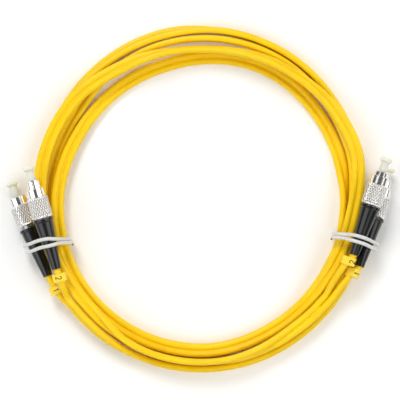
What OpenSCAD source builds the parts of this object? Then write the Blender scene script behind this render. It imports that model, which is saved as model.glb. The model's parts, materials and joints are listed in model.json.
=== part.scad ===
// Duplex fibre patch cord, FC plugs on both ends, laid in a flat coil and tied.
// The coil's middle stands at the origin, on the surface that the cord lies on.
// A plug's own axis is its local Z: 0 is the barrel's front face, + is forward.

/* [Zip cord] */
// Diameter of each jacket
jacket_d = 3; // [2.7:0.05:3.05]
// Distance between the middles of the two joined jackets
jacket_pitch = 3.2; // [3.05:0.05:3.25]

/* [Coil] */
// Radius of the outermost turn, at the middle of the cord
coil_r = 78.2; // [76:0.1:80]
// How far the coil is drawn out from back to front
coil_oval = 1; // [0:0.1:1.5]
// How far a jacket's middle lies above the surface
jacket_rest = 1.2; // [1.1:0.05:1.4]

/* [Ferrule] */
// Diameter of the ceramic ferrule
ferrule_d = 2.5; // [2.3:0.05:2.6]
// Length of the ceramic ferrule
ferrule_len = 10.5; // [9.5:0.1:11.5]
// How far the ferrule stands out of the barrel
ferrule_out = 3.9; // [3.5:0.1:4.4]
// How far the ferrule gives when it is pressed
ferrule_float = 1; // [0.5:0.1:1.1]
// Length of the holder's front collar
holder_collar_len = 1.5; // [1:0.1:2]
// Diameter of the holder's front collar
holder_collar_d = 4.4; // [4.1:0.05:4.5]
// Diameter of the holder's stem, inside the spring
holder_stem_d = 3; // [2.9:0.05:3.1]
// Length of the holder
holder_len = 4.3; // [3.8:0.1:5]

/* [Barrel] */
// Outside diameter of the barrel
barrel_d = 6; // [5.8:0.05:6.2]
// Length of the barrel from its face to the body
barrel_len = 9; // [8.5:0.1:9.5]
// Bore in front of the lip, where an adapter's sleeve goes in
barrel_bore = 4.8; // [4.6:0.05:5]
// Depth of the front bore
lip_depth = 3.6; // [3.5:0.1:3.8]
// Thickness of the lip that the ferrule's holder rests on
lip_t = 1; // [0.8:0.1:1.1]
// Bore through the lip
lip_bore = 3; // [2.8:0.05:3.2]
// Width of the key
key_w = 2.1; // [1.8:0.05:2.4]
// How far the key stands out of the barrel
key_h = 0.65; // [0.4:0.05:0.7]
// Length of the key
key_len = 4.5; // [3:0.1:6]
// Distance from the barrel's face to the key
key_back = 0.6; // [0.4:0.1:1.5]
// Diameter of the collar that stops the snap ring
stop_d = 7.3; // [7.1:0.05:7.35]
// Length of the stop collar
stop_len = 1; // [0.7:0.1:1.4]
// Length of the spigot that joins the barrel to the body
spigot_len = 2; // [1.5:0.1:2.4]
// Diameter of the spigot's seat in the body
spigot_d = 5.6; // [5.4:0.05:5.8]

/* [Body and crimp] */
// Outside diameter of the body, where the nut slides
body_d = 6.6; // [6.5:0.05:6.7]
// Length of the body behind the barrel
body_len = 13; // [12.8:0.1:13.4]
// Bore that holds the spring
chamber_d = 4.6; // [4.5:0.05:4.8]
// Length of the spring's chamber in the body
chamber_len = 3.3; // [3:0.1:4]
// Bore for the buffered fibre
buffer_bore = 1.6; // [1.2:0.1:2]
// Diameter of the buffered fibre
buffer_d = 0.9; // [0.8:0.05:1]
// Diameter of the crimp stub
stub_d = 3.6; // [3.2:0.05:3.6]
// Length of the crimp stub
stub_len = 7; // [5.5:0.1:7.3]
// Outside diameter of the crimp sleeve
crimp_d = 5; // [4.7:0.05:5.05]
// How far the crimp sleeve reaches past the stub
crimp_over = 1; // [0.6:0.1:1.1]

/* [Spring] */
// Diameter of the spring's wire
wire_d = 0.4; // [0.3:0.05:0.45]
// Diameter of the spring, at the middle of its wire
spring_d = 3.8; // [3.75:0.05:3.9]
// Number of turns
spring_turns = 5; // [4:1:7]

/* [Coupling nut] */
// Length of the nut
nut_len = 13.8; // [13.4:0.1:14]
// Length of the smooth front collar
nut_collar_len = 3.8; // [3:0.1:5]
// Diameter of the smooth front collar
nut_collar_d = 8.3; // [8.2:0.05:9]
// Diameter over the knurl
knurl_d = 9.7; // [9.3:0.05:9.8]
// Bore of the threaded front
thread_bore = 7.6; // [7.5:0.05:7.7]
// Depth of the threaded front
thread_len = 9.4; // [9.2:0.1:9.6]
// Thickness of the snap ring in the nut's groove
snap_t = 0.8; // [0.6:0.05:1]
// Outside diameter of the snap ring
snap_d = 7.9; // [7.8:0.05:8]
// Angle of the snap ring's opening
snap_gap = 30; // [15:1:60]

/* [Boot] */
// Length of the boot
boot_len = 24; // [23:0.1:25]
// Diameter of the boot's front rim
boot_rim_d = 9.5; // [9.2:0.05:9.6]
// Length of the boot's front rim
boot_rim_len = 1.3; // [0.8:0.1:1.6]
// Diameter of the boot behind its rim
boot_d = 8.5; // [8.4:0.05:8.8]
// Diameter of the boot's tail
boot_tail_d = 4.4; // [4.2:0.05:4.6]

/* [Dust cap] */
// Diameter of the cap's head
cap_head_d = 5.7; // [5:0.1:6.2]
// Thickness of the cap's head
cap_head_t = 2.3; // [1.6:0.1:3]
// Diameter of the cap's sleeve
cap_sleeve_d = 3.6; // [3.2:0.05:3.8]
// How far the sleeve stands out of the barrel
cap_out = 4.3; // [4.1:0.1:5]
// How far the sleeve reaches into the barrel
cap_in = 2.4; // [1.5:0.1:2.5]

/* [Markers and ties] */
// Width of a marker across the cord
marker_w = 6.4; // [6.2:0.1:7]
// Height of a marker
marker_h = 4.4; // [4.2:0.1:5]
// Length of a marker along the cord
marker_len = 3.8; // [3:0.1:4.2]
// Diameter of a tie
tie_d = 1.7; // [1.5:0.05:1.75]
// Distance between a tie's two wraps
tie_pitch = 2.3; // [2.2:0.05:3]

/* [Fits] */
// Radial clearance where a piece slides or turns
run_gap = 0.06; // [0.03:0.01:0.08]
// Radial clearance where a piece is fixed in another
fix_gap = 0.02; // [0.01:0.01:0.04]
// Radial clearance of the bores that only pass round something
pass_gap = 0.1; // [0.08:0.01:0.15]

// Radial clearance between the nut and the body
nut_gap = 0.15; // [0.1:0.01:0.2]
// Clearance between faces that meet end to end
seat_gap = 0.05; // [0.03:0.01:0.1]
// Clearance between the dust cap's bore and the ferrule's tip
cap_clear = 0.2; // [0.1:0.05:0.4]
// Room that the fibre's buffer leaves behind the pressed ferrule
buffer_clear = 0.3; // [0.1:0.05:0.5]
// Room in the boot behind the body's end and behind the crimp sleeve
boot_clear = 0.3; // [0.1:0.05:0.4]

/* [Hidden] */
$fn = 48;
// How far a cut runs past the face that it opens
cut = 1;
PLUGS = ["left_a", "left_b", "right_a", "right_b"];
PIECES = [
    "dust_cap", "ferrule", "ferrule_holder", "spring", "barrel", "snap_ring", "coupling_nut",
    "rear_body", "crimp_sleeve", "buffer", "boot", "leg", "marker"
];
// Degrees in a full turn
TURN = 360;

// One row for each plug: the barrel's face, the heading from the back of the
// coil, the lift of the nose, the key's turn about the axis, the nut's gap to the
// boot, how far the cap is drawn off, how much of the body the boot covers, and the
// marker's place: how far its middle is behind the boot's tail and to the left of
// the axis, its turn, and the cord's slant in it.
PLUG_ROWS = [
    [[-85.8, 0.5, 5], -21.8, -2, 30, 1.5, 1.2, 6.8, [7.6, -1.2, 0, -10]],
    [[-77.7, 8.5, 17.5], -15.1, 3, 20, 0.3, 0, 3.7, [4.2, -0.4, 0, -5]],
    [[85.9, 8, 5.3], 17.8, -8, -20, 0.3, 0, 4.3, [3.8, 2.1, -40, 25]],
    [[83.4, 12.5, 17.4], 18.5, 3, -40, 0.4, 0, 5.6, [3.4, 1.5, 0, 25]]
];
// Points that each leg passes between its marker and the coil's end
LEG_POINTS = [
    [[-64, -47, 7]],
    [[-63.2, -42.3, 12.9]],
    [[66, -39, 10.8], [62.4, -44, 9]],
    [[62.9, -35.6, 12.6], [59.4, -41.6, 9.9]]
];

// The coil is followed by one angle that counts on through its turns. Each key
// list gives [angle, value], and the value runs smoothly from one key to the next.
COIL_START = 222;
COIL_END = 1758;
STEP = 15;
// How far inside the outermost turn the cord's middle runs
INSET = [
    [222, 0.3], [244, -0.25], [330, -0.4], [385, 0.7], [420, 0], [455, 0], [500, 0.9],
    [536, 0.8], [557, 3.8], [585, 3.4], [605, 3.2], [700, 3.3], [740, 4.2], [775, 3.7],
    [800, 3.9], [825, 4.6], [865, 6.7], [895, 6.1], [917, 8.9], [945, 8.5], [990, 8.5],
    [1020, 9.4], [1050, 9.4], [1073, 7.8], [1095, 9.9], [1140, 11.4], [1190, 14.4],
    [1228, 13.2], [1262, 10.2], [1310, 8.5], [1350, 8.4], [1380, 9.6], [1404, 9.6], [1433, 4],
    [1456, 1.9], [1500, 6.8], [1532, 9.5], [1560, 7.3], [1585, 2.8], [1607, 1.8], [1640, 4],
    [1664, 5.8], [1692, 3.7], [1720, 3.4], [1745, 4.1], [1758, 3.6]
];
// How high the cord lies above the turns that stand on the surface
RISE = [
    [222, 6.2], [258, 0], [1205, 0], [1258, 3.46], [1388, 3.46], [1414, 6.7], [1490, 6.7],
    [1528, 3.6], [1552, 6.7], [1640, 6.7], [1655, 6.95], [1735, 6.95], [1758, 7.4]
];
// Turn of the pair of jackets: 0 lies flat, 90 stands on edge
TILT = [
    [222, 60], [258, 90], [440, 90], [465, 52], [495, 60], [520, 90], [838, 90], [870, 0],
    [1045, 0], [1064, 76], [1078, 76], [1100, 0], [1460, 0], [1480, 60], [1510, 64], [1537, 76],
    [1570, 0], [1660, 0], [1684, 90], [1708, 90], [1730, 55], [1750, 5], [1758, 0]
];
// The turns are pressed in beside the right plugs: [angle, reach, depth]
DENT = [353, 26, 2.8];
// The turns ride over the ties: [angle, reach, height]
HUMPS = [[197, 28, 2.6], [344, 28, 2.6]];

// A tie's closed outline in the upright plane through the coil's middle, as
// [distance from the middle, height]
LEFT_TIE_ANGLE = 197;
LEFT_TIE = [
    [62.9, 6], [63, 3.2], [64.2, 1.3], [66.8, 0.85], [72, 0.85], [77, 0.85],
    [80.5, 1], [83.4, 2.3], [85, 5.4], [84.2, 8.8], [80.5, 14],
    [76.9, 18.6], [73.2, 20.7], [69.5, 19.7], [67.4, 16.6], [65.2, 12.2], [63.4, 8.8]
];
RIGHT_TIE_ANGLE = 345;
RIGHT_TIE = [
    [63.3, 12.2], [63.4, 9], [63.5, 5.8], [64.1, 2.7], [66, 0.95], [70.6, 0.85],
    [74.6, 0.85], [77.5, 1.1], [80.3, 2.9], [82.8, 5.5], [84.5, 8.8], [83.9, 12],
    [81.4, 15.3], [79, 18.4], [75.6, 20.3], [72.5, 19.8], [69.2, 17.7], [65.8, 15.7],
    [63.8, 14.2]
];

function ease(t) = t * t * (3 - 2 * t);
// Slope from one key to the next, and the slope at a key: level at a crest
function rate(keys, i) = (keys[i + 1][1] - keys[i][1]) / (keys[i + 1][0] - keys[i][0]);
function slope(keys, i) =
    i < 1 || i > len(keys) - 2 ? 0
    : let (p = rate(keys, i - 1), q = rate(keys, i)) p * q > 0 ? 2 * p * q / (p + q) : 0;
function between(keys, i, t) =
    keys[i][1] * ease(1 - t) + keys[i + 1][1] * ease(t)
        + (keys[i + 1][0] - keys[i][0]) * t * (1 - t)
            * (slope(keys, i) * (1 - t) - slope(keys, i + 1) * t);
function keyed(keys, a, i = 0) =
    a <= keys[0][0] ? keys[0][1]
    : i > len(keys) - 2 ? keys[i][1]
    : a <= keys[i + 1][0] ? between(keys, i, (a - keys[i][0]) / (keys[i + 1][0] - keys[i][0]))
    : keyed(keys, a, i + 1);
// How far one angle lies from another, and a smooth bump round an angle
function apart(a, b) = let (d = abs(a - b) % TURN) min(d, TURN - d);
function bump(a, at) = apart(a, at[0]) < at[1] ? at[2] * ease(1 - apart(a, at[0]) / at[1]) : 0;

// The coil's pair of jackets at one angle: distance from the middle, height, tilt
function coil_place(a) =
    let (t = keyed(TILT, a))
    [
        coil_r - coil_oval * cos(2 * a) - bump(a, DENT) - keyed(INSET, a),
        jacket_rest + jacket_pitch / 2 * sin(t) + keyed(RISE, a)
            + bump(a, HUMPS[0]) + bump(a, HUMPS[1]),
        t
    ];
// A point of the pair's section, x across it and y above it
function coil_point(a, x, y) =
    let (c = coil_place(a), r = c[0] + x * cos(c[2]) + y * sin(c[2]))
    [r * cos(a), r * sin(a), c[1] - x * sin(c[2]) + y * cos(c[2])];
function along(a) = [-sin(a), cos(a), 0];
// The middle of one jacket: side 1 is the outer or lower one, -1 the other
function jacket_at(a, side) = coil_point(a, side * jacket_pitch / 2, 0);
function unit(v) = v / norm(v);

SIDES = 8;
function octagon(d) = [
    for (k = [0:SIDES - 1]) let (q = (k + 0.5) * TURN / SIDES - TURN / 2) d / 2 * [cos(q), sin(q)]
];
function zip_section() = concat(
    [for (p = octagon(jacket_d)) p + [jacket_pitch / 2, 0]],
    [for (p = octagon(jacket_d)) -p - [jacket_pitch / 2, 0]]
);
// Triangles over a convex end of n points from the point at
function fan(at, n) = [for (k = [1:n - 2]) [at, at + k, at + k + 1]];
// A solid through rings of n points each, closed by the same face at both ends
module swept(points, n, face) {
    last = len(points) - n;
    sides = [
        for (i = [0:n:last - n]) for (k = [0:n - 1])
            let (a = i + k, b = i + (k + 1) % n)
                each [[a, b, a + n], [b, b + n, a + n]]
    ];
    start = [for (f = face) [f[0], f[2], f[1]]];
    end = [for (f = face) [f[0] + last, f[1] + last, f[2] + last]];
    polyhedron(points, concat(sides, start, end));
}

// A tube of n sides along a route of points. Each ring stands square to the
// route, turned so that one way across it is as near as can be to level.
module tube(route, d, n, level) {
    last = len(route) - 1;
    points = [
        for (i = [0:last])
            let (
                t = unit(route[min(i + 1, last)] - route[max(i - 1, 0)]),
                s = level == undef ? unit(cross(t, [0, 0, 1])) : unit(level - (level * t) * t),
                u = cross(s, t)
            )
            for (k = [0:n - 1])
                let (q = (k + 0.5) * TURN / n)
                    route[i] + d / 2 * (cos(q) * s + sin(q) * u)
    ];
    swept(points, n, fan(0, n));
}

// ---- Coil ----
coil_angles = [for (a = [COIL_START:STEP:COIL_END - STEP / 2]) a];
module zipcord_coil() {
    section = zip_section();
    n = len(section);
    angles = concat([COIL_START], coil_angles, [COIL_END, COIL_END]);
    last = len(angles) - 1;
    points = [
        for (i = [0:last]) for (s = section)
            let (
                run = i == 0 ? -jacket_d : i == last ? jacket_d : 0,
                p = coil_point(angles[i], s[0], s[1]) + run * along(angles[i])
            )
            [p[0], p[1], max(p[2], 0)]
    ];
    face = concat(
        fan(0, SIDES), fan(SIDES, SIDES),
        [[0, SIDES - 1, SIDES], [0, SIDES, n - 1]]
    );
    color("gold") swept(points, n, face);
}
// The least gap between the cord's turns, and the angle between the points measured
gap_step = 5;
function turn_gap() = min([
    for (a = [COIL_START:gap_step:COIL_END - TURN]) for (k = [TURN:TURN:COIL_END - a])
        for (b = [a + k - STEP:gap_step:min(a + k + STEP, COIL_END)])
            for (s = [-1, 1]) for (t = [-1, 1])
                norm(jacket_at(a, s) - jacket_at(b, t)) - jacket_d
]);
function len_of(p, i = 0, sum = 0) =
    i > len(p) - 2 ? sum : len_of(p, i + 1, sum + norm(p[i + 1] - p[i]));
function coil_length() =
    2 * jacket_d + len_of([for (a = [COIL_START:gap_step:COIL_END]) coil_point(a, 0, 0)]);

// ---- Plug ----
function row(p) = PLUG_ROWS[search([p], PLUGS)[0]];
function face_at(p) = row(p)[0];
function plug_axis(p) =
    let (az = row(p)[1], el = row(p)[2]) [sin(az) * cos(el), cos(az) * cos(el), sin(el)];
function cap_off(p) = row(p)[5];
function boot_front(p) = row(p)[6] - barrel_len - body_len;
// The nut's snap ring can't pass the barrel's stop collar
nut_foremost = thread_len + pass_gap - barrel_len;
function nut_front(p) = min(boot_front(p) + row(p)[4] + nut_len, nut_foremost);
function boot_tail(p) = boot_front(p) - boot_len;
module on_plug(p) {
    translate(face_at(p)) rotate([0, 90 - row(p)[2], 90 - row(p)[1]]) children();
}
// A turned piece from its outline of [radius, height] points
module turned(outline) { rotate_extrude() polygon(outline); }

holder_front = -lip_depth - lip_t;
spring_front = holder_front - holder_collar_len;
stub_end = -barrel_len - body_len - stub_len;
chamber_depth = barrel_len + chamber_len;
boot_body_depth = max([for (r = PLUG_ROWS) r[6]]) + boot_clear;
boot_crimp_depth = boot_body_depth + stub_len + crimp_over;

module dust_cap(p) {
    tip = 0.5;
    color("ivory") on_plug(p) translate([0, 0, cap_off(p)]) difference() {
        turned([
            [0, -cap_in], [cap_sleeve_d / 2, -cap_in], [cap_sleeve_d / 2, cap_out],
            [cap_head_d / 2 - tip, cap_out], [cap_head_d / 2, cap_out + tip],
            [cap_head_d / 2, cap_out + cap_head_t - 2 * tip],
            [cap_head_d / 2 - tip, cap_out + cap_head_t - tip / 2],
            [cap_head_d / 2 - 2 * tip, cap_out + cap_head_t], [0, cap_out + cap_head_t]
        ]);
        translate([0, 0, -cap_in - cut])
            cylinder(d = ferrule_d + 2 * run_gap, h = cap_in + cut + ferrule_out + cap_clear);
    }
}

module ferrule(p) {
    chamfer = 0.3;
    color("white") on_plug(p) turned([
        [0, ferrule_out - ferrule_len], [ferrule_d / 2, ferrule_out - ferrule_len],
        [ferrule_d / 2, ferrule_out - chamfer], [ferrule_d / 2 - chamfer, ferrule_out], [0, ferrule_out]
    ]);
}

module ferrule_holder(p) {
    color("silver") on_plug(p) difference() {
        union() {
            translate([0, 0, holder_front - holder_len]) cylinder(d = holder_stem_d, h = holder_len);
            translate([0, 0, spring_front]) cylinder(d = holder_collar_d, h = holder_collar_len);
        }
        translate([0, 0, ferrule_out - ferrule_len]) cylinder(d = ferrule_d + 2 * fix_gap, h = ferrule_len);
        translate([0, 0, holder_front - holder_len - cut])
            cylinder(d = buffer_d + 2 * pass_gap, h = holder_len + cut);
    }
}

module spring(p) {
    per_turn = 8;
    rings = spring_turns * per_turn;
    back = -chamber_depth + seat_gap + wire_d / 2;
    front = spring_front - seat_gap - wire_d / 2;
    route = [
        for (i = [0:rings])
            let (q = i * TURN / per_turn)
                [spring_d / 2 * cos(q), spring_d / 2 * sin(q), back + (front - back) * i / rings]
    ];
    color("gray") on_plug(p) tube(route, wire_d, 6);
}

module barrel(p) {
    chamfer = 0.3;
    color("silver") on_plug(p) difference() {
        union() {
            turned([
                [0, -barrel_len], [barrel_d / 2, -barrel_len], [barrel_d / 2, -chamfer],
                [barrel_d / 2 - chamfer, 0], [0, 0]
            ]);
            translate([0, 0, -barrel_len]) cylinder(d = stop_d, h = stop_len);
            translate([0, 0, -barrel_len - spigot_len])
                cylinder(d = spigot_d - 2 * fix_gap, h = spigot_len + cut);
            rotate([0, 0, row(p)[3]]) translate([0, 0, -key_back - key_len]) intersection() {
                translate([-barrel_d, -key_w / 2, 0]) cube([barrel_d, key_w, key_len]);
                cylinder(d = barrel_d + 2 * key_h, h = key_len);
            }
        }
        translate([0, 0, -lip_depth]) cylinder(d = barrel_bore, h = lip_depth + cut);
        translate([0, 0, holder_front - cut]) cylinder(d = lip_bore, h = lip_t + 2 * cut);
        translate([0, 0, -barrel_len - spigot_len - cut])
            cylinder(d = chamber_d, h = barrel_len + spigot_len + cut + holder_front);
    }
}

module rear_body(p) {
    color("dimgray") on_plug(p) difference() {
        union() {
            translate([0, 0, -barrel_len - body_len]) cylinder(d = body_d, h = body_len);
            translate([0, 0, stub_end]) cylinder(d = stub_d, h = stub_len + cut);
        }
        translate([0, 0, -barrel_len - spigot_len - seat_gap])
            cylinder(d = spigot_d, h = spigot_len + cut);
        translate([0, 0, -chamber_depth]) cylinder(d = chamber_d, h = chamber_depth);
        translate([0, 0, stub_end - cut]) cylinder(d = buffer_bore, h = body_len + stub_len);
    }
}

module snap_ring(p) {
    color("gold") on_plug(p)
        translate([0, 0, nut_front(p) - thread_len - pass_gap - snap_t])
            rotate([0, 0, snap_gap / 2])
                rotate_extrude(angle = TURN - snap_gap)
                    translate([body_d / 2 + run_gap, 0]) square([(snap_d - body_d) / 2 - run_gap, snap_t]);
}

module coupling_nut(p) {
    edge = 0.4;
    groove = snap_t + 2 * pass_gap;
    color("lightgray") on_plug(p) translate([0, 0, nut_front(p)]) difference() {
        turned([
            [0, -nut_len], [knurl_d / 2 - edge, -nut_len], [knurl_d / 2, -nut_len + edge],
            [knurl_d / 2, -nut_collar_len - edge], [knurl_d / 2 - edge, -nut_collar_len],
            [nut_collar_d / 2, -nut_collar_len], [nut_collar_d / 2, -edge],
            [nut_collar_d / 2 - edge / 2, 0], [0, 0]
        ]);
        translate([0, 0, -thread_len]) cylinder(d = thread_bore, h = thread_len + cut);
        translate([0, 0, -thread_len - groove]) cylinder(d = snap_d + 2 * pass_gap, h = groove);
        translate([0, 0, -nut_len - cut]) cylinder(d = body_d + 2 * nut_gap, h = nut_len);
    }
}

module crimp_sleeve(p) {
    len = stub_len + crimp_over - pass_gap;
    color("gray") on_plug(p) translate([0, 0, stub_end - crimp_over]) difference() {
        cylinder(d = crimp_d, h = len);
        translate([0, 0, -cut]) cylinder(d = stub_d + 2 * fix_gap, h = len + 2 * cut);
    }
}

module buffer(p) {
    color("white") on_plug(p) translate([0, 0, stub_end])
        cylinder(d = buffer_d, h = ferrule_out - ferrule_len - ferrule_float - buffer_clear - stub_end);
}

module boot(p) {
    front = boot_d / 2;
    tail = boot_tail_d / 2;
    edge = 0.3;
    color("#1c1c1e") on_plug(p) translate([0, 0, boot_front(p)]) difference() {
        turned([
            [0, 0], [boot_rim_d / 2 - edge, 0], [boot_rim_d / 2, -edge],
            [boot_rim_d / 2, -boot_rim_len + edge], [boot_rim_d / 2 - edge, -boot_rim_len],
            [front + 0.1, -boot_rim_len - 0.5], [front, -boot_rim_len - 1.6],
            [tail, -boot_len + edge], [tail - edge, -boot_len], [0, -boot_len]
        ]);
        translate([0, 0, -boot_body_depth]) cylinder(d = body_d + 2 * fix_gap, h = boot_body_depth + cut);
        translate([0, 0, -boot_crimp_depth]) cylinder(d = crimp_d + 2 * pass_gap, h = boot_crimp_depth);
        translate([0, 0, -boot_len - cut]) cylinder(d = jacket_d + 4 * pass_gap, h = boot_len);
    }
}

// ---- Legs: one jacket of the zip cord to each plug ----
function plug_point(p, z) = face_at(p) + z * plug_axis(p);
function leg_side(p) = p == "left_a" || p == "right_a" ? 1 : -1;
function on_left(p) = p == "left_a" || p == "left_b";
// Where the jacket leaves the coil's end, and its heading there, away from the coil
function leg_end(p) = on_left(p)
    ? jacket_at(COIL_START, leg_side(p)) - jacket_d * along(COIL_START)
    : jacket_at(COIL_END, leg_side(p)) + jacket_d * along(COIL_END);
function leg_heading(p) = on_left(p) ? -along(COIL_START) : along(COIL_END);
// A point of the marker's middle line, z in front of the marker's middle
function marker_point(p, z) =
    let (m = row(p)[7], left = unit(cross([0, 0, 1], plug_axis(p))))
    plug_point(p, boot_tail(p) - m[0] + z) + (m[1] - z * tan(m[3])) * left;
// How far a leg runs straight past the boot's tail, and past each end of its marker
leg_clear = 3 * pass_gap;
leg_straight = marker_len / 2 + leg_clear;
function leg_route(p) = concat(
    [plug_point(p, stub_end), plug_point(p, boot_tail(p) - leg_clear)],
    [marker_point(p, leg_straight), marker_point(p, -leg_straight)],
    LEG_POINTS[search([p], PLUGS)[0]],
    [leg_end(p) + jacket_d * leg_heading(p), leg_end(p)]
);
module leg(p) { color("gold") tube(leg_route(p), jacket_d, SIDES); }

module marker(p) {
    round = 1.2;
    m = row(p)[7];
    color("yellow") on_plug(p) translate([0, m[1], boot_tail(p) - m[0]]) difference() {
        rotate([0, 0, m[2]]) translate([0, 0, -marker_len / 2]) linear_extrude(marker_len) hull()
            for (x = [-1, 1]) for (y = [-1, 1])
                translate([x * (marker_h / 2 - round), y * (marker_w / 2 - round)]) circle(round, $fn = 24);
        rotate([m[3], 0, 0])
            cylinder(d = jacket_d + 2 * pass_gap, h = 2 * marker_len, center = true);
    }
}

// ---- Ties: two wraps of one cord round a pair of plugs and the coil ----
function wrap(points, i) = points[(i + len(points)) % len(points)];
// A smooth closed outline through the points, at u from 0 to the points' count
function smooth_at(points, u) =
    let (
        i = floor(u), t = u - i,
        a = wrap(points, i - 1), b = wrap(points, i), c = wrap(points, i + 1), d = wrap(points, i + 2)
    )
    0.5 * (2 * b + (c - a) * t + (2 * a - 5 * b + 4 * c - d) * t * t + (3 * b - a - 3 * c + d) * t * t * t);
TIE_WRAPS = 2;
TIE_RINGS = 24;
module tie(outline, angle) {
    n = TIE_WRAPS * TIE_RINGS;
    route = [
        for (i = [0:n])
            let (
                q = smooth_at(outline, len(outline) * i / TIE_RINGS),
                w = tie_pitch * (i / TIE_RINGS - TIE_WRAPS / 2)
            )
            [q[0] * cos(angle), q[0] * sin(angle), max(q[1], tie_d / 2)] + w * along(angle)
    ];
    color("whitesmoke") tube(route, tie_d, 6, along(angle));
}
module left_tie() { tie(LEFT_TIE, LEFT_TIE_ANGLE); }
module right_tie() { tie(RIGHT_TIE, RIGHT_TIE_ANGLE); }

union() {
    echo(least_gap_between_turns = turn_gap(), length_of_coil = coil_length());
    zipcord_coil();
}
left_tie();
right_tie();
for (p = PLUGS) {
    dust_cap(p);
    ferrule(p);
    ferrule_holder(p);
    spring(p);
    barrel(p);
    snap_ring(p);
    coupling_nut(p);
    rear_body(p);
    crimp_sleeve(p);
    buffer(p);
    boot(p);
    leg(p);
    marker(p);
}
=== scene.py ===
"""Duplex fibre patch cord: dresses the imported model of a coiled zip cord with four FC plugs.

Every length is in metres unless its name ends in _mm or _MM. A plug's own
axis is its local Z: 0 is the barrel's front face and + is forward.
"""

import json
import math

import bmesh
import bpy
from bpy.props import FloatProperty, FloatVectorProperty, IntProperty, PointerProperty
from mathutils import Matrix, Vector


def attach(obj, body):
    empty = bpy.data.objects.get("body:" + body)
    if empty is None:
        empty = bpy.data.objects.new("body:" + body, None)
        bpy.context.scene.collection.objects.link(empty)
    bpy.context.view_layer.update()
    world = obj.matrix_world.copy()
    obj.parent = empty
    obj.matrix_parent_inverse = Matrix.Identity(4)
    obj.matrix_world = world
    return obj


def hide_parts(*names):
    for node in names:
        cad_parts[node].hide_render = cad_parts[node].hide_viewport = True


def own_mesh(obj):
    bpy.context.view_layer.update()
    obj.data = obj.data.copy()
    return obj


bl_info = {
    "name": "Fibre patch cord",
    "version": (1, 0, 0),
    "blender": (4, 5, 0),
    "location": "View3D > Sidebar > Patch cord",
    "description": "Dresses a coiled duplex patch cord with its jackets, ties, plugs and boots",
    "category": "Object",
}

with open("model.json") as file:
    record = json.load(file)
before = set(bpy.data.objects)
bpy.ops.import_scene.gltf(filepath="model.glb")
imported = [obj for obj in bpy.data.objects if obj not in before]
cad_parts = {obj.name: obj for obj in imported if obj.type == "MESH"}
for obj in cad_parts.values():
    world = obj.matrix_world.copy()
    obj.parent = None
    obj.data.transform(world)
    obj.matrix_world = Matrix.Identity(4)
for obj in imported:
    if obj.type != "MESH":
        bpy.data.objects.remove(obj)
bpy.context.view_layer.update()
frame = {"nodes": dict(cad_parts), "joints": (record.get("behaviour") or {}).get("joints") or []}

MM = 0.001
SAME_POINT = 1e-7
PLUGS = ("left_a", "left_b", "right_a", "right_b")
JOINTS = {joint["name"]: joint for joint in frame["joints"]}
ROOT = "cord_set"


def linear(code):
    """An sRGB hex colour as linear red, green and blue."""
    parts = [int(code[i : i + 2], 16) / 255 for i in (1, 3, 5)]
    return tuple(c / 12.92 if c <= 0.04045 else ((c + 0.055) / 1.055) ** 2.4 for c in parts)


# ---- Where the cord lies ----
# The coil is followed by one angle that counts on through its turns. Each key
# list gives (angle, millimetres or degrees), and runs smoothly from key to key:
# how far the pair lies in from the coil's edge, how far it is lifted off the floor,
# and its tilt, 0 with the jackets side by side and 90 with one upon the other.
COIL_START = 222
COIL_END = 1758
COIL_STEP = 2
INSET_MM = (
    (222, 0.3), (244, -0.25), (330, -0.4), (385, 0.7), (420, 0), (455, 0), (500, 0.9),
    (536, 0.8), (557, 3.8), (585, 3.4), (605, 3.2), (700, 3.3), (727, 4.9), (742, 5), (778, 3.6),
    (800, 3.9), (825, 4.6), (865, 6.7), (895, 6.1), (917, 8.9), (945, 8.5), (990, 8.5),
    (1020, 9.4), (1050, 9.4), (1073, 7.8), (1095, 9.7), (1140, 10.7), (1190, 14.4),
    (1228, 13.2), (1262, 10.2), (1310, 8.5), (1350, 8.4), (1380, 9.6), (1404, 9.6), (1433, 4),
    (1456, 1.9), (1500, 6.8), (1532, 9.5), (1560, 7.3), (1585, 2.8), (1607, 1.8), (1640, 4),
    (1664, 5.8), (1692, 3.7), (1720, 3.4), (1745, 4.1), (1758, 3.6),
)
RISE_MM = (
    (222, 6.2), (258, 0), (1205, 0), (1258, 3.46), (1388, 3.46), (1414, 6.7), (1490, 6.7),
    (1528, 3.6), (1552, 6.7), (1640, 6.7), (1655, 6.95), (1735, 6.95), (1758, 7.4),
)
TILT = (
    (222, 60), (258, 90), (440, 90), (465, 52), (495, 60), (520, 90), (838, 90), (870, 0),
    (1045, 0), (1064, 76), (1078, 76), (1100, 0), (1460, 0), (1485, 45), (1510, 62), (1537, 76),
    (1570, 0), (1660, 0), (1684, 90), (1708, 90), (1730, 55), (1750, 5), (1758, 0),
)
# Bumps as (angle, reach to either side, height): where the coil is pressed in,
# and where it climbs over the ties
DENT_MM = (353, 26, 2.8)
HUMPS_MM = ((197, 28, 2.3), (344, 28, 2.3))
# The coil's mean radius, how much less it is along X and more along Y, and the
# height of a jacket's middle where it rests
COIL_RADIUS_MM = 78.2
COIL_OVAL_MM = 1
JACKET_REST_MM = 1.5

# A marker's middle, behind the boot's tail and left of the plug's axis, its turn
# about the axis and the cord's slant in it
MARKERS_MM = {
    "left_a": (7.6, -1.2, 0, -10), "left_b": (4.2, -0.4, 0, -5),
    "right_a": (3.8, 2.1, -40, 25), "right_b": (3.4, 1.5, 0, 25),
}
MARKER_LENGTH = 3.8 * MM
MARKER_HEIGHT = 4.4 * MM
MARKER_WIDTH = 6.4 * MM
MARKER_ROUND = 1.2 * MM
BOOT_LENGTH_MM = 24
# Where a jacket starts on its plug's axis, how far ahead of the boot's tail it is last
# held there, how far past the tail and its marker's ends it runs straight, and the
# distance between its points
CRIMP_END = -29 * MM
LEG_IN_BOOT = 3 * MM
LEG_CLEAR = 0.3 * MM
ROUTE_STEP = 1.5 * MM
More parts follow.
